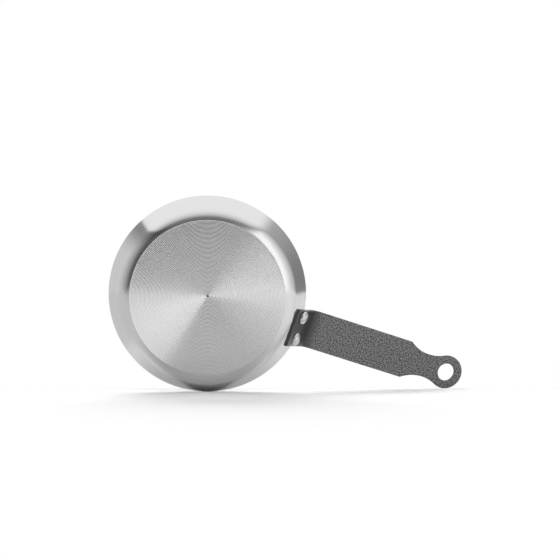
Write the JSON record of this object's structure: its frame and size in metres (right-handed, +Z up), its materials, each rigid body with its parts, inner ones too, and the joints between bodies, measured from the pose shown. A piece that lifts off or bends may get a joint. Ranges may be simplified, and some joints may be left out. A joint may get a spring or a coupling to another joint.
{
  "type": "blini pan",
  "caption": "Small round pan pressed from bare steel, with a flat turned base, a low flared wall and a painted strip handle riveted to the wall and ending in a hanging eye.",
  "frame": {"origin": "centre of the base's underside, where the pan stands", "axes": "+Z up out of the pan's mouth, +X along the handle, +Y across it"},
  "size_m": [0.2289, 0.12, 0.06],
  "materials": {
    "raw_steel": "bare steel, satin, with fine turned rings on the base",
    "mottled_paint": "mottled grey hammer paint, half gloss",
    "rivet_steel": "bare steel, satin"
  },
  "bodies": {
    "root": {"pan_body": "raw_steel", "handle": "mottled_paint", "rivet_left": "rivet_steel", "rivet_right": "rivet_steel"}
  },
  "joints": []
}
